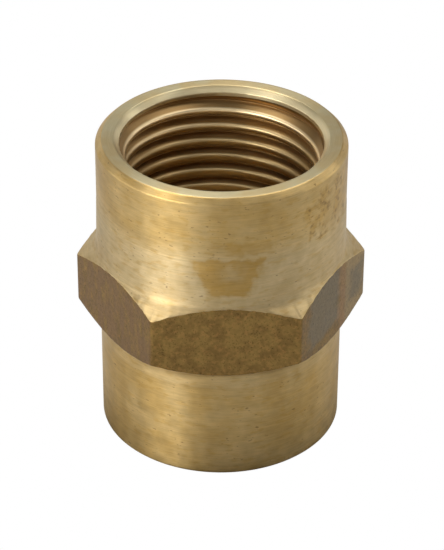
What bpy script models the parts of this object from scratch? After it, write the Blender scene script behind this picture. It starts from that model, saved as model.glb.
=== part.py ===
"""A brass reducing coupling: one piece of hexagon bar, turned at both ends, drilled through and tapped.

The axis is +Z. The origin is the centre of the small end's rim, which the coupling stands on, and the
large end faces up. Two of the hexagon's six flats face +Y and -Y. Both tapped ends hold right-hand
tapered pipe threads, the coarser one in the large end.
"""
import math

import bmesh
import bpy
from mathutils import Matrix

MM = 0.001
INCH = 25.4 * MM

# The outside, from the small end up. The hexagon's ends are turned to a cone, which rounds its corners.
LENGTH = 32.4 * MM
HEX_ACROSS_FLATS = 1.0 * INCH
SMALL_END_RADIUS = 12.3 * MM
LARGE_END_RADIUS = 12.5 * MM
SMALL_END_HEIGHT = 12.25 * MM
LARGE_END_BASE = 20.4 * MM
HEX_CONE_ANGLE = math.radians(34.0)
SMALL_RIM_CHAMFER = 0.4 * MM
LARGE_RIM_CHAMFER = 0.55 * MM

# The holes. The small end's tap drill goes right through; the large end's stops on a drill-point cone.
SMALL_BORE_RADIUS = 7.65 * MM
LARGE_BORE_RADIUS = 9.55 * MM
LARGE_BORE_DEPTH = 16.5 * MM
DRILL_POINT_HALF_ANGLE = math.radians(59.0)
SMALL_MOUTH_RADIUS = 8.6 * MM
LARGE_MOUTH_RADIUS = 10.67 * MM

# Inside each mouth's 45 degree chamfer is a short plain recess, which clears the first crest.
SMALL_RECESS_RADIUS = 8.15 * MM
LARGE_RECESS_RADIUS = 10.12 * MM

# The threads: 60 degree form, 1 in 16 taper on diameter.
HALF_FORM_ANGLE = math.radians(30.0)
TAPER_ON_RADIUS = 1.0 / 32.0
ROOT_FLAT_SHARE = 0.05
RUNOUT_TURNS = 0.75
LARGE_THREAD = {
    "pitch": INCH / 14.0,
    "root_radius": 10.6 * MM,
    "bore_radius": LARGE_BORE_RADIUS,
    "recess_radius": LARGE_RECESS_RADIUS,
    "recess_depth": 1.35 * MM,
    "length": 14.6 * MM,
    "first_groove": 2.0 * MM,
}
SMALL_THREAD = {
    "pitch": INCH / 18.0,
    "root_radius": 8.53 * MM,
    "bore_radius": SMALL_BORE_RADIUS,
    "recess_radius": SMALL_RECESS_RADIUS,
    "recess_depth": 1.05 * MM,
    "length": 11.4 * MM,
    "first_groove": 1.6 * MM,
}

SEGMENTS = 40
ENVELOPE_SEGMENTS = 60
OVERSHOOT = 2.0 * MM
SNAP = 0.06 * MM
BRASS_COLOUR = (0.55, 0.40, 0.17, 1.0)
SMOOTH_BELOW = math.radians(25.0)


def clear_scene():
    for obj in list(bpy.data.objects):
        bpy.data.objects.remove(obj, do_unlink=True)


def brass():
    material = bpy.data.materials.new("brass")
    material.use_nodes = True
    shader = material.node_tree.nodes["Principled BSDF"]
    shader.inputs["Base Color"].default_value = BRASS_COLOUR
    shader.inputs["Metallic"].default_value = 1.0
    shader.inputs["Roughness"].default_value = 0.35
    material.diffuse_color = BRASS_COLOUR
    return material


def object_from(bm, name):
    bmesh.ops.recalc_face_normals(bm, faces=bm.faces)
    mesh = bpy.data.meshes.new(name)
    bm.to_mesh(mesh)
    bm.free()
    obj = bpy.data.objects.new(name, mesh)
    bpy.context.collection.objects.link(obj)
    return obj


def hexagon_bar(name):
    """Hexagon bar stock on the axis, longer than the coupling, with a corner on +X and flats on Y."""
    bm = bmesh.new()
    corner_radius = HEX_ACROSS_FLATS / 2 / math.cos(math.pi / 6)
    ring = [
        bm.verts.new((corner_radius * math.cos(k * math.pi / 3), corner_radius * math.sin(k * math.pi / 3), 0))
        for k in range(6)
    ]
    base = bm.faces.new(ring)
    top = bmesh.ops.extrude_face_region(bm, geom=[base])
    lifted = [v for v in top["geom"] if isinstance(v, bmesh.types.BMVert)]
    bmesh.ops.translate(bm, verts=lifted, vec=(0, 0, LENGTH + 2 * OVERSHOOT))
    bmesh.ops.translate(bm, verts=bm.verts, vec=(0, 0, -OVERSHOOT))
    return object_from(bm, name)


def turned(name, profile):
    """A solid of revolution about Z. The profile is (radius, height) points that start and end on the axis."""
    bm = bmesh.new()
    outline = [bm.verts.new((radius, 0, height)) for radius, height in profile]
    edges = [bm.edges.new(pair) for pair in zip(outline, outline[1:])]
    bmesh.ops.spin(
        bm, geom=outline + edges, cent=(0, 0, 0), axis=(0, 0, 1), dvec=(0, 0, 0),
        angle=2 * math.pi, steps=ENVELOPE_SEGMENTS, use_merge=True, use_duplicate=False,
    )
    bmesh.ops.remove_doubles(bm, verts=bm.verts, dist=1e-7)
    half_segment = Matrix.Rotation(math.pi / ENVELOPE_SEGMENTS, 3, "Z")
    bmesh.ops.rotate(bm, verts=bm.verts, cent=(0, 0, 0), matrix=half_segment)
    return object_from(bm, name)


def turned_envelope(name):
    """What the lathe leaves of the bar: both round ends, and the cones that top and tail the hexagon."""
    past_corners = HEX_ACROSS_FLATS / 2 / math.cos(math.pi / 6) + OVERSHOOT
    slope = math.tan(HEX_CONE_ANGLE)
    cone_low = SMALL_END_HEIGHT + slope * (past_corners - SMALL_END_RADIUS)
    cone_high = LARGE_END_BASE - slope * (past_corners - LARGE_END_RADIUS)
    return turned(name, [
        (0, 0),
        (SMALL_END_RADIUS - SMALL_RIM_CHAMFER, 0),
        (SMALL_END_RADIUS, SMALL_RIM_CHAMFER),
        (SMALL_END_RADIUS, SMALL_END_HEIGHT),
        (past_corners, cone_low),
        (past_corners, cone_high),
        (LARGE_END_RADIUS, LARGE_END_BASE),
        (LARGE_END_RADIUS, LENGTH - LARGE_RIM_CHAMFER),
        (LARGE_END_RADIUS - LARGE_RIM_CHAMFER, LENGTH),
        (0, LENGTH),
    ])


def groove_points(thread, depth):
    """One crossing of the groove, this deep in the hole, as (radius, offset from its centre) rising points."""
    pitch = thread["pitch"]
    bore = thread["bore_radius"]
    full_height = thread["root_radius"] - TAPER_ON_RADIUS * depth - bore
    fade = min(1.0, max(0.0, (thread["length"] - depth) / (RUNOUT_TURNS * pitch)))
    root = bore + full_height * fade
    half_root = ROOT_FLAT_SHARE * pitch / 2
    half_mouth = half_root + full_height * math.tan(HALF_FORM_ANGLE)
    return [(bore, -half_mouth), (root, -half_root), (root, half_root), (bore, half_mouth)]


def thread_wall(bm, thread, mouth_height, outward, low_ring, high_ring):
    """Faces of a tapped wall between two rings of the hole, with the groove on a right-hand helix.

    outward is +1 where the mouth faces +Z, and -1 where it faces -Z. The helix rises by one pitch in each
    turn, so a crossing of the groove in the last column meets the next crossing up in the first column.
    Crossings past either ring shrink to the ring, which ends the groove cleanly.
    """
    pitch = thread["pitch"]
    low = low_ring[0].co.z + SNAP
    high = high_ring[0].co.z - SNAP
    first_height = mouth_height - outward * thread["first_groove"]
    lowest_turn = math.floor((low - first_height) / pitch) - 2
    highest_turn = math.ceil((high - first_height) / pitch) + 1
    columns = []
    for j in range(SEGMENTS):
        angle = 2 * math.pi * j / SEGMENTS
        column = []
        for turn in range(lowest_turn, highest_turn + 1):
            centre = first_height + pitch * (turn + j / SEGMENTS)
            for radius, offset in groove_points(thread, outward * (mouth_height - centre)):
                height = centre + offset
                past_recess = outward * (mouth_height - height) - thread["recess_depth"]
                radius = max(radius, thread["recess_radius"] - max(0.0, past_recess))
                if height <= low:
                    column.append(low_ring[j])
                elif height >= high:
                    column.append(high_ring[j])
                else:
                    column.append(bm.verts.new((radius * math.cos(angle), radius * math.sin(angle), height)))
        columns.append(column)
    rows_per_turn = len(groove_points(thread, 0.0))
    wrapped = columns[0][rows_per_turn:] + [high_ring[0]] * rows_per_turn
    for here, there in zip(columns, columns[1:] + [wrapped]):
        for k in range(len(here) - 1):
            add_face(bm, (here[k], there[k], there[k + 1], here[k + 1]))


def add_face(bm, corners):
    """A face from these corners, or none where fewer than three of them differ."""
    distinct = list(dict.fromkeys(corners))
    if len(distinct) > 2:
        bm.faces.new(distinct)


def ring(bm, radius, height):
    return [
        bm.verts.new((radius * math.cos(angle), radius * math.sin(angle), height))
        for angle in (2 * math.pi * j / SEGMENTS for j in range(SEGMENTS))
    ]


def join_rings(bm, lower, upper):
    for j in range(SEGMENTS):
        after = (j + 1) % SEGMENTS
        add_face(bm, (lower[j], lower[after], upper[after], upper[j]))


def threaded_way(name):
    """The hole through the coupling as a solid: both threads, the step between them, both chamfered mouths."""
    step_height = LENGTH - LARGE_BORE_DEPTH
    step_fall = (LARGE_BORE_RADIUS - SMALL_BORE_RADIUS) / math.tan(DRILL_POINT_HALF_ANGLE)
    bm = bmesh.new()
    below = ring(bm, SMALL_MOUTH_RADIUS + OVERSHOOT, -OVERSHOOT)
    small_mouth = ring(bm, SMALL_RECESS_RADIUS, SMALL_MOUTH_RADIUS - SMALL_RECESS_RADIUS)
    small_end = ring(bm, SMALL_BORE_RADIUS, SMALL_THREAD["length"])
    step_bottom = ring(bm, SMALL_BORE_RADIUS, step_height - step_fall)
    step_top = ring(bm, LARGE_BORE_RADIUS, step_height)
    large_end = ring(bm, LARGE_BORE_RADIUS, LENGTH - LARGE_THREAD["length"])
    large_mouth = ring(bm, LARGE_RECESS_RADIUS, LENGTH - LARGE_MOUTH_RADIUS + LARGE_RECESS_RADIUS)
    above = ring(bm, LARGE_MOUTH_RADIUS + OVERSHOOT, LENGTH + OVERSHOOT)
    bm.faces.new(below)
    join_rings(bm, below, small_mouth)
    thread_wall(bm, SMALL_THREAD, 0.0, -1, small_mouth, small_end)
    join_rings(bm, small_end, step_bottom)
    join_rings(bm, step_bottom, step_top)
    join_rings(bm, step_top, large_end)
    thread_wall(bm, LARGE_THREAD, LENGTH, 1, large_end, large_mouth)
    join_rings(bm, large_mouth, above)
    bm.faces.new(above)
    return object_from(bm, name)


def cut(body, cutter, operation):
    """Add an exact Boolean of the body with a cutter, which itself stays out of the model."""
    boolean = body.modifiers.new(cutter.name, "BOOLEAN")
    boolean.operation = operation
    boolean.solver = "EXACT"
    boolean.object = cutter
    cutter.parent = body
    cutter.hide_render = True
    cutter.display_type = "WIRE"


def main():
    clear_scene()
    body = hexagon_bar("coupling_body")
    body.data.materials.append(brass())
    cut(body, turned_envelope("turned_envelope"), "INTERSECT")
    cut(body, threaded_way("threaded_way"), "DIFFERENCE")
    body.data.shade_smooth()
    body.data.set_sharp_from_angle(angle=SMOOTH_BELOW)


main()
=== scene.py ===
"""A brass reducing coupling standing on a pale studio floor.

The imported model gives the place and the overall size. The coupling is one mesh with round ends, a
hexagon with turned corners and two real helical threads, built in columns round its axis. Four brass
finishes follow how each surface was made: turned, faced, cold drawn, and tapped.
"""

import math

import bpy
from mathutils import Matrix, Vector, noise


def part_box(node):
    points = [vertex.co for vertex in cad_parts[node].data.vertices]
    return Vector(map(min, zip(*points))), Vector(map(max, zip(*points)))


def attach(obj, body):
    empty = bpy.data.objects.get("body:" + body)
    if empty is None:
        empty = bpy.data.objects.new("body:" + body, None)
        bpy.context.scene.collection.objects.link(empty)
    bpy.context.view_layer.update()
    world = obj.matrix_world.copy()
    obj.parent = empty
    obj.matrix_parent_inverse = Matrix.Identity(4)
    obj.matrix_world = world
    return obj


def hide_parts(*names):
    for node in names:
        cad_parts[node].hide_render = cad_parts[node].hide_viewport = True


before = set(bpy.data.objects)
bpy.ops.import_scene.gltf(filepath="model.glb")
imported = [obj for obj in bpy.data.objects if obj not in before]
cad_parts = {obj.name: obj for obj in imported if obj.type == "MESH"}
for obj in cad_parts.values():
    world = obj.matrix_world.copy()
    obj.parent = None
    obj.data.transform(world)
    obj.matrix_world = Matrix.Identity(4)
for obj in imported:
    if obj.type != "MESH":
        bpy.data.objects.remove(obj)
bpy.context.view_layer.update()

MM = 0.001
NODE = "coupling_body"
NODE_HIGH = Vector(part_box(NODE)[1])

# The outside. The coupling's length and the hexagon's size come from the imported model.
LENGTH = NODE_HIGH.z
APOTHEM = NODE_HIGH.y
CORNER_RADIUS = APOTHEM / math.cos(math.pi / 6)
SMALL_END_RADIUS = 12.3 * MM
LARGE_END_RADIUS = 12.5 * MM
SMALL_END_HEIGHT = 12.25 * MM
LARGE_END_BASE = 20.4 * MM
HEX_CONE_SLOPE = math.tan(math.radians(34.0))
SMALL_RIM_CHAMFER = 0.4 * MM
LARGE_RIM_CHAMFER = 0.55 * MM
TOOL_RING_HEIGHT = 25.6 * MM
SMALL_TOOL_RING_HEIGHT = 10.7 * MM

# The hole and its threads.
SMALL_BORE_RADIUS = 7.65 * MM
LARGE_BORE_RADIUS = 9.55 * MM
LARGE_BORE_DEPTH = 16.5 * MM
DRILL_POINT_HALF_ANGLE = math.radians(59.0)
SMALL_MOUTH_RADIUS = 8.6 * MM
LARGE_MOUTH_RADIUS = 10.67 * MM
SMALL_RECESS_RADIUS = 8.15 * MM
LARGE_RECESS_RADIUS = 10.12 * MM
HALF_FORM_TAN = math.tan(math.radians(30.0))
TAPER_ON_RADIUS = 1 / 32
ROOT_FLAT_SHARE = 0.06
RUNOUT_TURNS = 0.75

# Each thread, with its depths from its own mouth. "root" is the groove's radius at the mouth, and
# "first_groove" is how deep a groove's middle lies on the +X side.
LARGE_THREAD = {
    "pitch": 25.4 * MM / 14,
    "root": 10.6 * MM,
    "bore": LARGE_BORE_RADIUS,
    "recess": LARGE_RECESS_RADIUS,
    "recess_depth": 1.35 * MM,
    "length": 14.6 * MM,
    "first_groove": 2.0 * MM,
}
SMALL_THREAD = {
    "pitch": 25.4 * MM / 18,
    "root": 8.53 * MM,
    "bore": SMALL_BORE_RADIUS,
    "recess": SMALL_RECESS_RADIUS,
    "recess_depth": 1.05 * MM,
    "length": 11.4 * MM,
    "first_groove": 1.6 * MM,
}

# How rounded each kind of edge is, and how far a crest's edges lie below its middle.
MOUTH_EDGE_ROUND = 0.15 * MM
RIM_EDGE_ROUND = 0.3 * MM
HEX_EDGE_ROUND = 0.22 * MM
HEX_CORNER_ROUND = 0.5 * MM
BASE_FILLET = 1.6 * MM
CREST_EDGE_ROUND = 0.45 * MM
ROOT_ROUND = 0.10 * MM
CREST_CROWN = 0.07 * MM

# Small departures from the plain shape: the steps that the tool left, the flare above the hexagon's cone,
# the ragged edge of its arcs and the wear on the large mouth's lip, the last two with their usual length.
TOOL_STEP = 0.02 * MM
FLARE = 0.10 * MM
RAGGED_ARC = 0.11 * MM
RAGGED_ARC_LENGTH = 0.45 * MM
LIP_WEAR = 0.05 * MM
LIP_WEAR_LENGTH = 0.8 * MM

# How finely the mesh follows all this. A thread's point this near to the ring at its end joins the ring,
# and the outside ends a little way down each recess.
ROUND_STEPS = 4
THREAD_ROUND_STEPS = 2
FLANK_STEPS = 1
RECESS_START = 0.4 * MM
SNAP = 0.02 * MM
PLAIN_COLUMNS = 240
CORNER_COLUMN_OFFSETS = [math.radians(degrees) for degrees in (0.34, 0.68, 1.02)]

# Camera: a long lens looking down at the front flat from a little to the left.
VIEW_AZIMUTH = -2.39
VIEW_ELEVATION = 32.5
VIEW_ROLL = 0.32
VIEW_DISTANCE = 249.5 * MM
VIEW_LENS = 160.1
AIM_SIDESTEP = 0.1 * MM

# Colours: BRASS where it was turned or faced, DRAWN on the flats, and TAPPED in the hole.
BRASS_PALE = (0.62, 0.44, 0.19)
BRASS_DEEP = (0.54, 0.36, 0.13)
BRASS_DULL = (0.63, 0.52, 0.32)
BRASS_RIM = (0.68, 0.58, 0.34)
# A painted highlight: the paler brass that the faced rim turns to round the mouth.
BRASS_MOUTH_HIGHLIGHT = (0.97, 0.82, 0.50)
BRASS_AMBER = (0.50, 0.30, 0.07)
BRASS_STAIN = (0.20, 0.12, 0.05)
DRAWN_BROWN = (0.23, 0.14, 0.045)
DRAWN_GOLD = (0.30, 0.19, 0.06)
DRAWN_ORANGE = (0.34, 0.18, 0.06)
DRAWN_RED = (0.25, 0.15, 0.065)
DRAWN_GREY = (0.23, 0.185, 0.115)
DRAWN_RUST = (0.38, 0.23, 0.11)
DRAWN_PALE = (0.42, 0.31, 0.16)
# The TAPPED colours are painted light: a highlight on the crests, dimmer deeper down, and shade in the
# grooves.
TAPPED_GROOVE_SHADE = (0.34, 0.21, 0.085)
TAPPED_CREST_HIGHLIGHT = (0.93, 0.72, 0.42)
TAPPED_DEEP_CREST_SHADE = (0.62, 0.45, 0.22)

# Stained areas: middle and half width round the axis in degrees from the front, then lowest and highest
# point. Some also say how many degrees narrower each side is at the foot, and how soft the edges are.
AMBER_STAIN = (1.5, 17, 21.6 * MM, 25.7 * MM, 9)
AMBER_SMEAR = (10, 9, 26.3 * MM, 27.6 * MM)
PALE_SMEAR = (2.5, 4.5, 23.3 * MM, 25.2 * MM, 0, 2)
RUST_AREA = (60, 22, 25.6 * MM, 31.3 * MM)
RUST_STRIPE = (69, 3, 12.0 * MM, 20.0 * MM)
DRAWN_GREY_AREAS = [(51.5, 14.5, 14.0 * MM, 21.5 * MM, 0, 1.8), (82, 6, 14.6 * MM, 18.2 * MM, 0, 2.4)]

# How ragged the edges of the stained areas are, and how far those fade at a softness of 1.
RAGGED_EDGE_SIZE = 1.1 * MM
RAGGED_EDGE_DEGREES = 9
RAGGED_EDGE_RISE = 1.4 * MM
EDGE_FADE_DEGREES = 2
EDGE_FADE = 0.25 * MM

# The dull band above the hexagon: how far below the cone's top it comes in, and where it fades out. The
# small end's ring ends a fainter one sharply.
DULL_BAND_RISE = 3 * MM
DULL_BAND_FADE_START = TOOL_RING_HEIGHT - 0.8 * MM
DULL_BAND_FADE_END = TOOL_RING_HEIGHT + 2.2 * MM
RING_FADE = 0.1 * MM

# The radii between which the faced brass turns from the rim's colour to a painted highlight round the hole.
MOUTH_HIGHLIGHT_START = LARGE_MOUTH_RADIUS + 0.1 * MM
MOUTH_HIGHLIGHT_FULL = LARGE_MOUTH_RADIUS - 0.35 * MM

# The thread's crests have a painted highlight down to the first depth, dimmed to painted shade from the
# second. Its grooves have painted shade from the second height over the bore outwards.
CREST_SHADE_DEPTHS = (3.0 * MM, 4.6 * MM)
CREST_COLOUR_HEIGHTS = (0.06 * MM, 0.3 * MM)

# The softboxes: name, azimuth and elevation, width and height as angles, and brightness.
LIGHT_DISTANCE = 0.7
SOFTBOXES = [
    ("left_key", -52, 13, 36, 26, 5.7),
    ("left_edge", -92, 14, 38, 26, 2.0),
    ("left_middle", -47, 34, 26, 14, 1.9),
    ("front_left", -24, 12, 20, 24, 1.6),
    ("front_low", 4, 15, 34, 14, 0.9),
    ("right_front", 46, 17, 40, 16, 0.75),
    ("right_edge", 94, 17, 44, 20, 1.5),
    ("right_back", 134, 8, 42, 16, 0.8),
    ("back_right", 124, 34, 22, 18, 0.7),
    ("back_low", 180, 33, 56, 18, 0.4),
    ("left_back", -144, 14, 58, 26, 0.7),
    ("front_high", 0, 57, 44, 10, 1.7),
    ("high_left", -104, 66, 20, 20, 3.4),
    ("high_back_left", -154, 64, 20, 22, 5.2),
    ("high_back", 180, 58, 16, 26, 2.3),
    ("high_back_right", 146, 57, 20, 26, 3.0),
    ("high_right", 98, 62, 24, 26, 1.8),
]
DOME_BRIGHTNESS = 0.12
BACKDROP_BRIGHTNESS = 1.0
FLOOR_HALF_WIDTH = 1.5
FLOOR_GREY = 0.58
# Close beside the coupling the floor's grey darkens to the next value, a painted shadow that only the
# coupling sees.
FLOOR_SHADOW_GREY = 0.1
FLOOR_SHADE_START = SMALL_END_RADIUS - 4 * MM
FLOOR_SHADE_END = SMALL_END_RADIUS + 12 * MM

TURNED, FACED, DRAWN, TAPPED = range(4)


def rounded(corners, radii, steps):
    """The outline through these corners, with each inner corner replaced by a soft bend of its radius."""
    points = [corners[0]]
    for before, corner, after, radius in zip(corners, corners[1:], corners[2:], radii):
        back, ahead = before - corner, after - corner
        reach = min(radius / math.tan(back.angle(ahead) / 2), 0.45 * back.length, 0.45 * ahead.length)
        start = corner + back.normalized() * reach
        end = corner + ahead.normalized() * reach
        for k in range(steps + 1):
            t = k / steps
            points.append(start * (1 - t) ** 2 + corner * (2 * t * (1 - t)) + end * t ** 2)
    points.append(corners[-1])
    return points


def stretched(points, counts):
    """The outline with each stretch cut into this many equal steps."""
    fine = []
    for a, b, count in zip(points, points[1:], counts):
        fine += [a.lerp(b, k / count) for k in range(count)]
    return fine + [points[-1]]


def column_angles():
    """Evenly spaced angles round the axis, with a few more on each side of the hexagon's corners."""
    angles = {round(2 * math.pi * j / PLAIN_COLUMNS, 9) for j in range(PLAIN_COLUMNS)}
    for k in range(6):
        for offset in CORNER_COLUMN_OFFSETS:
            angles.add(round((k * math.pi / 3 + offset) % (2 * math.pi), 9))
            angles.add(round((k * math.pi / 3 - offset) % (2 * math.pi), 9))
    return sorted(angles)


def hexagon_radius(angle):
    """How far the hexagon's side is from the axis in this direction, with its corners rounded."""
    from_corner = abs((angle + math.pi / 6) % (math.pi / 3) - math.pi / 6)
    centre = CORNER_RADIUS - HEX_CORNER_ROUND / math.cos(math.pi / 6)
    aside = centre * math.sin(from_corner)
    if aside >= HEX_CORNER_ROUND / 2:
        return APOTHEM / math.cos(math.pi / 6 - from_corner)
    return centre * math.cos(from_corner) + math.sqrt(HEX_CORNER_ROUND ** 2 - aside ** 2)


def uneven(angle, size, seed):
    """A smooth random number, about -1 to 1, that changes over this size round the large end."""
    turns = LARGE_END_RADIUS / size
    return noise.noise(Vector((turns * math.cos(angle), turns * math.sin(angle), seed)))


def outline(angle):
    """The outside from just inside the small mouth to just inside the large one, in one column.

    Returns (radius, height) points and, for each step between them, the finish of its surface.
    """
    side = hexagon_radius(angle)
    small_lip = SMALL_MOUTH_RADIUS - SMALL_RECESS_RADIUS
    large_lip = LARGE_MOUTH_RADIUS - LARGE_RECESS_RADIUS
    lip_wear = LIP_WEAR * max(0.0, uneven(angle, LIP_WEAR_LENGTH, 3.0))
    flare_foot = LARGE_END_RADIUS + TOOL_STEP + FLARE
    ragged = RAGGED_ARC * uneven(angle, RAGGED_ARC_LENGTH, 7.0)
    corners = [Vector(point) for point in (
        (SMALL_RECESS_RADIUS, small_lip + RECESS_START),
        (SMALL_RECESS_RADIUS, small_lip),
        (SMALL_MOUTH_RADIUS, 0),
        (SMALL_END_RADIUS - SMALL_RIM_CHAMFER, 0),
        (SMALL_END_RADIUS, SMALL_RIM_CHAMFER),
        (SMALL_END_RADIUS, SMALL_TOOL_RING_HEIGHT),
        (SMALL_END_RADIUS + TOOL_STEP, SMALL_TOOL_RING_HEIGHT + TOOL_STEP),
        (SMALL_END_RADIUS + TOOL_STEP, SMALL_END_HEIGHT),
        (side, SMALL_END_HEIGHT + HEX_CONE_SLOPE * (side - SMALL_END_RADIUS) + 0.5 * ragged),
        (side, LARGE_END_BASE - HEX_CONE_SLOPE * (side - LARGE_END_RADIUS) - ragged),
        (flare_foot, LARGE_END_BASE - HEX_CONE_SLOPE * (flare_foot - LARGE_END_RADIUS)),
        (LARGE_END_RADIUS + TOOL_STEP, TOOL_RING_HEIGHT - TOOL_STEP),
        (LARGE_END_RADIUS, TOOL_RING_HEIGHT),
        (LARGE_END_RADIUS, LENGTH - LARGE_RIM_CHAMFER),
        (LARGE_END_RADIUS - LARGE_RIM_CHAMFER, LENGTH),
        (LARGE_MOUTH_RADIUS, LENGTH),
        (LARGE_RECESS_RADIUS + lip_wear, LENGTH - large_lip),
        (LARGE_RECESS_RADIUS, LENGTH - large_lip - RECESS_START),
    )]
    radii = [MOUTH_EDGE_ROUND] * 2 + [RIM_EDGE_ROUND] * 2 + [TOOL_STEP] * 2 + [BASE_FILLET]
    radii += [HEX_EDGE_ROUND] * 2 + [BASE_FILLET] + [TOOL_STEP] * 2
    radii += [RIM_EDGE_ROUND] * 2 + [MOUTH_EDGE_ROUND] * 2
    # How many steps each stretch between two corners is cut into. The ninth is the hexagon's side.
    straight_steps = [1, 2, 8, 2, 12, 1, 3, 3, 10, 3, 8, 1, 10, 2, 4, 2, 1]
    counts = [straight_steps[0]]
    for steps in straight_steps[1:]:
        counts += [1] * ROUND_STEPS + [steps]
    points = stretched(rounded(corners, radii, ROUND_STEPS), counts)
    flat_start = sum(straight_steps[:8]) + ROUND_STEPS * 8
    flat_steps = range(flat_start - ROUND_STEPS // 2, flat_start + straight_steps[8] + ROUND_STEPS // 2)
    finishes = [DRAWN if k in flat_steps else TURNED for k in range(len(points) - 1)]
    # What lies nearer the axis than the small rim's chamfer was faced.
    for k, (start, end) in enumerate(zip(points, points[1:])):
        if max(start.x, end.x) < SMALL_END_RADIUS - SMALL_RIM_CHAMFER:
            finishes[k] = FACED
    return points, finishes


def groove_crossing(thread, depth):
    """Where one column crosses the groove this deep in the hole, from one crest's middle to the next.

    Returns (radius, offset along the axis from the groove's centre) points without the last crest's.
    """
    pitch = thread["pitch"]
    half_root = ROOT_FLAT_SHARE * pitch / 2
    root = thread["root"] - TAPER_ON_RADIUS * depth
    crest_edge = half_root + (root - thread["bore"]) * HALF_FORM_TAN
    fade = min(1.0, max(0.0, (thread["length"] - depth) / (RUNOUT_TURNS * pitch)))
    corners = [Vector((thread["bore"] - CREST_CROWN, -pitch / 2)), Vector((thread["bore"], -crest_edge)),
               Vector((root, -half_root)), Vector((root, 0))]
    bends = [1] * THREAD_ROUND_STEPS
    half = stretched(rounded(corners, [CREST_EDGE_ROUND, ROOT_ROUND], THREAD_ROUND_STEPS),
                     [1] + bends + [FLANK_STEPS] + bends + [1])
    half = [Vector((thread["bore"] + (r - thread["bore"]) * fade, offset)) for r, offset in half]
    other = [Vector((r, -offset)) for r, offset in reversed(half)]
    return half + other[1:-1]


class Skin:
    """The coupling's mesh while it grows: points, faces and each face's finish."""

    def __init__(self):
        self.angles = column_angles()
        self.points = []
        self.faces = []
        self.finishes = []

    def point(self, angle, radius, height):
        self.points.append((radius * math.cos(angle), radius * math.sin(angle), height))
        return len(self.points) - 1

    def ring(self, radius, height):
        return [self.point(angle, radius, height) for angle in self.angles]

    def face(self, corners, finish):
        """A face from these points, or none where fewer than three of them differ."""
        distinct = list(dict.fromkeys(corners))
        if len(distinct) > 2:
            self.faces.append(distinct)
            self.finishes.append(finish)

    def join(self, lower, upper, finish):
        """A band of faces between two rings, facing the axis."""
        for j in range(len(lower)):
            after = (j + 1) % len(lower)
            self.face((lower[after], lower[j], upper[j], upper[after]), finish)

    def outside(self):
        """The whole outside. Returns its first and last rings, which lie just inside the two mouths."""
        columns = []
        for angle in self.angles:
            points, finishes = outline(angle)
            columns.append([self.point(angle, radius, height) for radius, height in points])
        rows = list(zip(*columns))
        for lower, upper, finish in zip(rows, rows[1:], finishes):
            self.join(upper, lower, finish)
        return rows[0], rows[-1]

    def thread(self, thread, mouth_height, outward, low_ring, high_ring):
        """A tapped wall between two rings, its groove on a right-hand helix.

        outward is +1 where the mouth faces +Z, and -1 where it faces -Z. The helix rises by one pitch in
        each turn, so the last column meets the next crossing up in the first column. Points past either
        ring shrink to the ring.
        """
        pitch = thread["pitch"]
        low = self.points[low_ring[0]][2] + SNAP
        high = self.points[high_ring[0]][2] - SNAP
        first_height = mouth_height - outward * thread["first_groove"]
        lowest_turn = math.floor((low - first_height) / pitch) - 2
        highest_turn = math.ceil((high - first_height) / pitch) + 1
        columns = []
        for j, angle in enumerate(self.angles):
            column = []
            for turn in range(lowest_turn, highest_turn + 1):
                centre = first_height + pitch * (turn + angle / (2 * math.pi))
                crossing = groove_crossing(thread, outward * (mouth_height - centre))
                for radius, offset in crossing:
                    height = centre + offset
                    past_recess = outward * (mouth_height - height) - thread["recess_depth"]
                    radius = max(radius, thread["recess"] - max(0.0, past_recess))
                    if height <= low:
                        column.append(low_ring[j])
                    elif height >= high:
                        column.append(high_ring[j])
                    else:
                        column.append(self.point(angle, radius, height))
            columns.append(column)
        shift = len(crossing)  # Points in one turn
        wrapped = columns[0][shift:] + [high_ring[0]] * shift
        for here, there in zip(columns, columns[1:] + [wrapped]):
            for k in range(len(here) - 1):
                self.face((there[k], here[k], here[k + 1], there[k + 1]), TAPPED)

    def hole(self, small_mouth, large_mouth):
        """The stepped and tapped hole between the two mouths."""
        step_height = LENGTH - LARGE_BORE_DEPTH
        step_fall = (LARGE_BORE_RADIUS - SMALL_BORE_RADIUS) / math.tan(DRILL_POINT_HALF_ANGLE)
        small_end = self.ring(SMALL_BORE_RADIUS, SMALL_THREAD["length"])
        step_bottom = self.ring(SMALL_BORE_RADIUS, step_height - step_fall)
        step_top = self.ring(LARGE_BORE_RADIUS, step_height)
        large_end = self.ring(LARGE_BORE_RADIUS, LENGTH - LARGE_THREAD["length"])
        self.thread(SMALL_THREAD, 0, -1, small_mouth, small_end)
        self.join(small_end, step_bottom, TAPPED)
        self.join(step_bottom, step_top, TAPPED)
        self.join(step_top, large_end, TAPPED)
        self.thread(LARGE_THREAD, LENGTH, 1, large_end, large_mouth)


def coupling(materials):
    """The whole coupling as one object, with the materials in the order of the finishes."""
    skin = Skin()
    small_mouth, large_mouth = skin.outside()
    skin.hole(small_mouth, large_mouth)
    mesh = bpy.data.meshes.new("coupling")
    mesh.from_pydata(skin.points, [], skin.faces)
    mesh.polygons.foreach_set("material_index", skin.finishes)
    for material in materials:
        mesh.materials.append(material)
    mesh.shade_smooth()
    mesh.validate()
    piece = bpy.data.objects.new("coupling", mesh)
    bpy.context.collection.objects.link(piece)
    normals = piece.modifiers.new("weighted_normals", "WEIGHTED_NORMAL")
    normals.keep_sharp = True
    return piece


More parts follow.
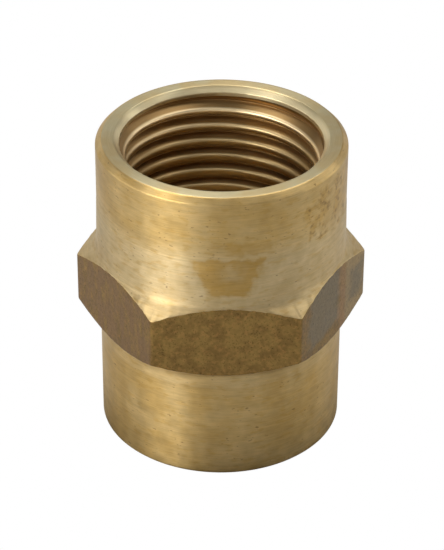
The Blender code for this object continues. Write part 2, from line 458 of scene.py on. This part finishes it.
class Finish:
    """A brass material, with short calls for the nodes that its colour, roughness and bump need."""

    def __init__(self, name, anisotropy=0.0, grain_turn=0.0):
        self.material = bpy.data.materials.new(name)
        self.material.use_nodes = True
        self.tree = self.material.node_tree
        self.shader = self.tree.nodes["Principled BSDF"]
        self.shader.inputs["Metallic"].default_value = 1.0
        if anisotropy:
            tangent = self.tree.nodes.new("ShaderNodeTangent")
            tangent.direction_type = "RADIAL"
            tangent.axis = "Z"
            self.tree.links.new(tangent.outputs["Tangent"], self.shader.inputs["Tangent"])
            self.shader.inputs["Anisotropic"].default_value = anisotropy
            self.shader.inputs["Anisotropic Rotation"].default_value = grain_turn
        place = self.tree.nodes.new("ShaderNodeTexCoord").outputs["Object"]
        split = self.tree.nodes.new("ShaderNodeSeparateXYZ")
        self.tree.links.new(place, split.inputs[0])
        self.place = place
        self.x, self.y, self.z = split.outputs
        self.radius = self.math("SQRT", self.math("ADD", self.power2(self.x), self.power2(self.y)))

    def fill(self, socket, value):
        """Link the value if it is another node's output, or else set it."""
        if isinstance(value, bpy.types.NodeSocket):
            self.tree.links.new(value, socket)
        else:
            socket.default_value = value

    def math(self, operation, first, second=None):
        node = self.tree.nodes.new("ShaderNodeMath")
        node.operation = operation
        for socket, value in zip(node.inputs, (first, second)):
            if value is not None:
                self.fill(socket, value)
        return node.outputs[0]

    def power2(self, value):
        return self.math("MULTIPLY", value, value)

    def weighted(self, start, *terms):
        """The start plus each term's value times its weight."""
        total = start
        for value, weight in terms:
            total = self.math("ADD", total, self.math("MULTIPLY", value, weight))
        return total

    def vector(self, x, y, z):
        node = self.tree.nodes.new("ShaderNodeCombineXYZ")
        for socket, value in zip(node.inputs, (x, y, z)):
            self.fill(socket, value)
        return node.outputs[0]

    def noise(self, size, detail=2.0, stretch=(1, 1, 1)):
        """Noise from 0 to 1 with blotches about this many metres across, longer along a stretched axis."""
        scaled = self.tree.nodes.new("ShaderNodeVectorMath")
        scaled.operation = "MULTIPLY"
        self.fill(scaled.inputs[0], self.place)
        scaled.inputs[1].default_value = [1 / (size * share) for share in stretch]
        node = self.tree.nodes.new("ShaderNodeTexNoise")
        node.inputs["Scale"].default_value = 1.0
        node.inputs["Detail"].default_value = detail
        self.fill(node.inputs["Vector"], scaled.outputs[0])
        return node.outputs["Fac"]

    def turning_marks(self, width, length, detail=1.0):
        """Noise in short arcs round the axis, this wide and long, both on walls and on faces square to it."""
        turns = LARGE_END_RADIUS / length
        node = self.tree.nodes.new("ShaderNodeTexNoise")
        node.noise_dimensions = "4D"
        node.inputs["Scale"].default_value = 1.0
        node.inputs["Detail"].default_value = detail
        share_x = self.math("MULTIPLY", self.math("DIVIDE", self.x, self.radius), turns)
        share_y = self.math("MULTIPLY", self.math("DIVIDE", self.y, self.radius), turns)
        self.fill(node.inputs["Vector"], self.vector(share_x, share_y, self.math("DIVIDE", self.z, width)))
        self.fill(node.inputs["W"], self.math("DIVIDE", self.radius, width))
        return node.outputs["Fac"]

    def between(self, value, low, high):
        """0 below low, 1 above high, and smooth between. It falls instead where high is below low."""
        node = self.tree.nodes.new("ShaderNodeMapRange")
        node.interpolation_type = "SMOOTHSTEP"
        self.fill(node.inputs["Value"], value)
        if low < high:
            node.inputs["From Min"].default_value = low
            node.inputs["From Max"].default_value = high
            return node.outputs["Result"]
        node.inputs["From Min"].default_value = high
        node.inputs["From Max"].default_value = low
        node.inputs["To Min"].default_value = 1.0
        node.inputs["To Max"].default_value = 0.0
        return node.outputs["Result"]

    def both(self, first, second):
        return self.math("MULTIPLY", first, second)

    def within(self, value, low, high, fade):
        """1 from low to high and 0 outside, with each edge this soft."""
        rise = self.between(value, low - fade, low + fade)
        fall = self.between(value, high + fade, high - fade)
        return self.both(rise, fall)

    def mixed(self, share, first, second):
        """The first colour where share is 0, and the second where it is 1."""
        node = self.tree.nodes.new("ShaderNodeMix")
        node.data_type = "RGBA"
        self.fill(node.inputs["Factor"], share)
        for socket, colour in ((node.inputs["A"], first), (node.inputs["B"], second)):
            self.fill(socket, colour if isinstance(colour, bpy.types.NodeSocket) else (*colour, 1.0))
        return node.outputs["Result"]

    def tinted(self, colour, other, share, strength):
        """The colour mixed with the other one, by the share times a strength."""
        return self.mixed(self.math("MULTIPLY", share, strength), colour, other)

    def scaled_colour(self, colour, value):
        """The colour times a value."""
        node = self.tree.nodes.new("ShaderNodeVectorMath")
        node.operation = "SCALE"
        self.fill(node.inputs[0], colour)
        self.fill(node.inputs["Scale"], value)
        return node.outputs[0]

    def near_front(self):
        """The angle round the axis from the front flat's middle, in radians, growing towards +X."""
        return self.math("ARCTAN2", self.x, self.math("MULTIPLY", self.y, -1.0))

    def patch(self, angle, middle, half_width, low, high, taper=0.0, soft=1.0):
        """An uneven patch on the outside: its middle and half width round the axis in degrees, and heights.

        It is narrower by the taper, in degrees, on each side of its foot. Soft widens its fading edges.
        """
        ragged = self.math("SUBTRACT", self.noise(RAGGED_EDGE_SIZE, detail=3.0), 0.5)
        side = self.math("ABSOLUTE", self.math("SUBTRACT", angle, math.radians(middle)))
        below_top = self.math("DIVIDE", self.math("SUBTRACT", high, self.z), high - low)
        ragged_side = math.radians(RAGGED_EDGE_DEGREES)
        side = self.weighted(side, (below_top, math.radians(taper)), (ragged, ragged_side))
        height = self.weighted(self.z, (ragged, RAGGED_EDGE_RISE))
        fade = EDGE_FADE_DEGREES * soft
        across = self.between(side, math.radians(half_width + fade), math.radians(half_width - fade))
        return self.both(across, self.within(height, low, high, EDGE_FADE * soft))

    def bump(self, height, depth):
        node = self.tree.nodes.new("ShaderNodeBump")
        node.inputs["Distance"].default_value = depth
        self.fill(node.inputs["Height"], height)
        self.fill(self.shader.inputs["Normal"], node.outputs["Normal"])

    def finish(self, colour, roughness):
        self.fill(self.shader.inputs["Base Color"], colour)
        self.fill(self.shader.inputs["Roughness"], roughness)
        return self.material


def turned_brass():
    """Lathe-turned brass: fine arcs round the axis, a dull band beside the hexagon, stains and rust."""
    f = Finish("turned_brass", anisotropy=0.85, grain_turn=0.25)
    angle = f.near_front()
    fine = f.turning_marks(0.09 * MM, 1.6 * MM)
    coarse = f.turning_marks(0.35 * MM, 5.0 * MM)
    short = f.turning_marks(0.22 * MM, 0.5 * MM)
    smears = f.turning_marks(0.45 * MM, 1.1 * MM, detail=4.0)
    cloud = f.noise(4.0 * MM, detail=3.0)
    patches = f.noise(1.3 * MM, detail=3.0)
    grit = f.noise(0.45 * MM, detail=3.0)
    blotches = f.noise(1.5 * MM, detail=4.0)
    colour = f.mixed(f.between(cloud, 0.35, 0.65), BRASS_DEEP, BRASS_PALE)

    beside_hexagon = f.both(f.between(f.z, LARGE_END_BASE - DULL_BAND_RISE, LARGE_END_BASE),
                            f.between(f.z, DULL_BAND_FADE_END, DULL_BAND_FADE_START))
    above_ring = f.between(f.z, SMALL_TOOL_RING_HEIGHT - RING_FADE, SMALL_TOOL_RING_HEIGHT + RING_FADE)
    under_hexagon = f.both(above_ring, f.between(f.z, LARGE_END_BASE, SMALL_END_HEIGHT))
    dull = f.both(f.weighted(beside_hexagon, (under_hexagon, 0.35)), f.weighted(0.2, (patches, 0.6)))
    colour = f.mixed(dull, colour, BRASS_DULL)

    colour = f.tinted(colour, BRASS_AMBER, f.between(smears, 0.52, 0.66), 0.35)
    colour = f.tinted(colour, BRASS_AMBER, f.patch(angle, *AMBER_STAIN), 0.75)
    colour = f.tinted(colour, BRASS_AMBER, f.patch(angle, *AMBER_SMEAR), 0.4)
    colour = f.tinted(colour, BRASS_DULL, f.patch(angle, *PALE_SMEAR), 0.32)

    rust_area = f.patch(angle, *RUST_AREA)
    rust = f.both(rust_area, f.both(f.between(grit, 0.46, 0.72), f.between(blotches, 0.40, 0.60)))
    round_rust = f.both(rust_area, f.between(blotches, 0.48, 0.6))
    specks = f.both(f.between(short, 0.64, 0.74), f.between(patches, 0.48, 0.6))
    colour = f.tinted(colour, BRASS_AMBER, round_rust, 0.45)
    colour = f.tinted(colour, BRASS_STAIN, f.math("MAXIMUM", specks, rust), 0.6)

    colour = f.scaled_colour(colour, f.weighted(0.55, (fine, 0.36), (coarse, 0.2), (patches, 0.34)))
    f.bump(f.weighted(coarse, (fine, 0.5), (patches, 2.0)), 0.006 * MM)
    return f.finish(colour, f.weighted(0.32, (patches, 0.14), (dull, 0.1)))


def faced_brass():
    """The flat rims and the mouths' chamfers, faced off by the same lathe, and a painted highlight round the
    hole.
    """
    f = Finish("faced_brass", anisotropy=0.62, grain_turn=0.25)
    fine = f.turning_marks(0.08 * MM, 3.0 * MM)
    cloud = f.noise(3.0 * MM, detail=3.0)
    colour = f.tinted(BRASS_RIM, BRASS_PALE, f.between(cloud, 0.35, 0.65), 0.6)
    # Round the hole the faced brass turns to a paler colour, a painted highlight.
    colour = f.tinted(colour, BRASS_MOUTH_HIGHLIGHT, f.between(f.radius, MOUTH_HIGHLIGHT_START, MOUTH_HIGHLIGHT_FULL), 0.8)
    colour = f.scaled_colour(colour, f.weighted(0.72, (fine, 0.22)))
    f.bump(f.weighted(fine, (cloud, 2.0)), 0.006 * MM)
    return f.finish(colour, f.weighted(0.29, (cloud, 0.14)))


def drawn_brass():
    """The hexagon's flats as the bar was drawn: duller, brown, finely speckled, with grey and rusty areas."""
    f = Finish("drawn_brass")
    angle = f.near_front()
    blotch = f.noise(1.6 * MM, detail=4.0)
    streak = f.noise(0.9 * MM, detail=2.0, stretch=(1, 1, 3))
    speck = f.noise(0.16 * MM, detail=2.0)
    grain = f.noise(0.4 * MM, detail=3.0)
    colour = f.mixed(f.between(blotch, 0.36, 0.64), DRAWN_BROWN, DRAWN_GOLD)
    colour = f.tinted(colour, DRAWN_ORANGE, f.between(grain, 0.5, 0.68), 0.45)

    on_left_flat = f.within(angle, math.radians(-90), math.radians(-30), math.radians(1))
    colour = f.mixed(f.both(on_left_flat, f.between(streak, 0.3, 0.6)), colour, DRAWN_RED)
    far_right = f.both(f.between(angle, math.radians(70), math.radians(74)),
                       f.between(angle, math.radians(91), math.radians(89)))
    colour = f.tinted(colour, DRAWN_PALE, far_right, 0.7)
    for area in DRAWN_GREY_AREAS:
        colour = f.tinted(colour, DRAWN_GREY, f.patch(angle, *area), 0.85)
    colour = f.tinted(colour, DRAWN_RUST, f.patch(angle, *RUST_STRIPE), 0.7)

    dark_specks = f.between(speck, 0.42, 0.3)
    colour = f.scaled_colour(colour, f.weighted(0.72, (grain, 0.56), (dark_specks, -0.45)))
    f.bump(f.weighted(speck, (grain, 2.0)), 0.012 * MM)
    return f.finish(colour, f.weighted(0.38, (blotch, 0.16)))


def tapped_brass():
    """The hole: a painted highlight on the thread's crests and painted shade in its grooves, with faint tap
    marks.
    """
    f = Finish("tapped_brass")
    fine = f.turning_marks(0.08 * MM, 3.0 * MM)
    cloud = f.noise(2.5 * MM, detail=2.0)
    in_large_end = f.between(f.z, SMALL_THREAD["length"], SMALL_THREAD["length"] + MM)
    bore = f.weighted(SMALL_BORE_RADIUS, (in_large_end, LARGE_BORE_RADIUS - SMALL_BORE_RADIUS))
    on_crest, in_groove = CREST_COLOUR_HEIGHTS
    crest = f.between(f.math("SUBTRACT", f.radius, bore), in_groove, on_crest)
    lit_crest_depth, shaded_crest_depth = CREST_SHADE_DEPTHS
    near_mouth = f.between(f.z, LENGTH - shaded_crest_depth, LENGTH - lit_crest_depth)
    # Painted light: the crests get a painted highlight that dims deeper down, and the grooves get painted
    # shade.
    colour = f.mixed(crest, TAPPED_GROOVE_SHADE, f.mixed(near_mouth, TAPPED_DEEP_CREST_SHADE, TAPPED_CREST_HIGHLIGHT))
    colour = f.scaled_colour(colour, f.weighted(0.75, (fine, 0.2), (cloud, 0.3)))
    f.bump(fine, 0.003 * MM)
    return f.finish(colour, f.weighted(0.3, (cloud, 0.1)))


def seen_by_camera(tree):
    """1 where the camera sees a surface or the sky directly, and 0 where it lights the coupling."""
    return tree.nodes.new("ShaderNodeLightPath").outputs["Is Camera Ray"]


def paper():
    """Floor paper that looks pure white, and lights the coupling as pale grey, with a painted shadow close
    beside it.
    """
    material = bpy.data.materials.new("floor_paper")
    material.use_nodes = True
    tree = material.node_tree
    shader = tree.nodes["Principled BSDF"]
    place = tree.nodes.new("ShaderNodeTexCoord")
    reach = tree.nodes.new("ShaderNodeVectorMath")
    reach.operation = "LENGTH"
    tree.links.new(place.outputs["Object"], reach.inputs[0])
    # The darker grey near the coupling is a painted shadow.
    shade = tree.nodes.new("ShaderNodeMapRange")
    shade.interpolation_type = "SMOOTHSTEP"
    tree.links.new(reach.outputs["Value"], shade.inputs["Value"])
    shade.inputs["From Min"].default_value = FLOOR_SHADE_START
    shade.inputs["From Max"].default_value = FLOOR_SHADE_END
    shade.inputs["To Min"].default_value = FLOOR_SHADOW_GREY
    shade.inputs["To Max"].default_value = FLOOR_GREY
    tree.links.new(shade.outputs["Result"], shader.inputs["Base Color"])
    shader.inputs["Roughness"].default_value = 0.8
    white = tree.nodes.new("ShaderNodeEmission")
    white.inputs["Strength"].default_value = BACKDROP_BRIGHTNESS
    either = tree.nodes.new("ShaderNodeMixShader")
    tree.links.new(seen_by_camera(tree), either.inputs["Fac"])
    tree.links.new(shader.outputs["BSDF"], either.inputs[1])
    tree.links.new(white.outputs["Emission"], either.inputs[2])
    tree.links.new(either.outputs["Shader"], tree.nodes["Material Output"].inputs["Surface"])
    return material


def floor():
    """A square of paper under the coupling."""
    half = FLOOR_HALF_WIDTH
    corners = [(-half, -half, 0), (half, -half, 0), (half, half, 0), (-half, half, 0)]
    mesh = bpy.data.meshes.new("floor")
    mesh.from_pydata(corners, [], [(0, 1, 2, 3)])
    mesh.materials.append(paper())
    piece = bpy.data.objects.new("floor", mesh)
    bpy.context.collection.objects.link(piece)


def away_from_coupling(azimuth, elevation):
    """The direction from the coupling with this azimuth, 0 in front at -Y and 90 at +X, and elevation."""
    a, e = math.radians(azimuth), math.radians(elevation)
    return Vector((math.sin(a) * math.cos(e), -math.cos(a) * math.cos(e), math.sin(e)))


def softbox(name, azimuth, elevation, width, height, brightness):
    """A rectangular light facing the coupling's middle, sized by the angles it covers from there."""
    light = bpy.data.lights.new(name, "AREA")
    light.shape = "RECTANGLE"
    light.size = 2 * LIGHT_DISTANCE * math.tan(math.radians(width) / 2)
    light.size_y = 2 * LIGHT_DISTANCE * math.tan(math.radians(height) / 2)
    light.energy = brightness * math.pi * light.size * light.size_y
    lamp = bpy.data.objects.new(name, light)
    bpy.context.collection.objects.link(lamp)
    away = away_from_coupling(azimuth, elevation)
    lamp.location = Vector((0, 0, LENGTH / 2)) + away * LIGHT_DISTANCE
    lamp.rotation_euler = away.to_track_quat("Z", "Y").to_euler()
    lamp.visible_camera = False


def studio():
    """Softboxes round the coupling, brightest low on the left and high at the back, over a dim dome."""
    world = bpy.data.worlds.new("studio")
    world.use_nodes = True
    backdrop = world.node_tree.nodes["Background"]
    backdrop.inputs["Color"].default_value = (1, 1, 1, 1)
    strength = world.node_tree.nodes.new("ShaderNodeMapRange")
    strength.inputs["To Min"].default_value = DOME_BRIGHTNESS
    strength.inputs["To Max"].default_value = BACKDROP_BRIGHTNESS
    world.node_tree.links.new(seen_by_camera(world.node_tree), strength.inputs["Value"])
    world.node_tree.links.new(strength.outputs["Result"], backdrop.inputs["Strength"])
    bpy.context.scene.world = world
    for settings in SOFTBOXES:
        softbox(*settings)


def camera():
    """A long lens aimed at the coupling's middle, with a small roll."""
    back = away_from_coupling(VIEW_AZIMUTH, VIEW_ELEVATION)
    right = Vector((0, 0, 1)).cross(back).normalized()
    turn = Matrix.Rotation(math.radians(VIEW_ROLL), 3, back)
    right = turn @ right
    up = back.cross(right)
    data = bpy.data.cameras.new("camera")
    data.lens = VIEW_LENS
    data.clip_start = 10 * MM
    data.clip_end = 10
    view = bpy.data.objects.new("camera", data)
    bpy.context.collection.objects.link(view)
    aim = Vector((0, 0, LENGTH / 2)) + right * AIM_SIDESTEP
    view.matrix_world = Matrix.LocRotScale(
        aim + back * VIEW_DISTANCE, Matrix((right, up, back)).transposed().to_quaternion(), None)
    bpy.context.scene.camera = view


body = coupling([turned_brass(), faced_brass(), drawn_brass(), tapped_brass()])
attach(body, "root")
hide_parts(NODE)
floor()
studio()
camera()
bpy.context.scene.view_settings.view_transform = "Standard"
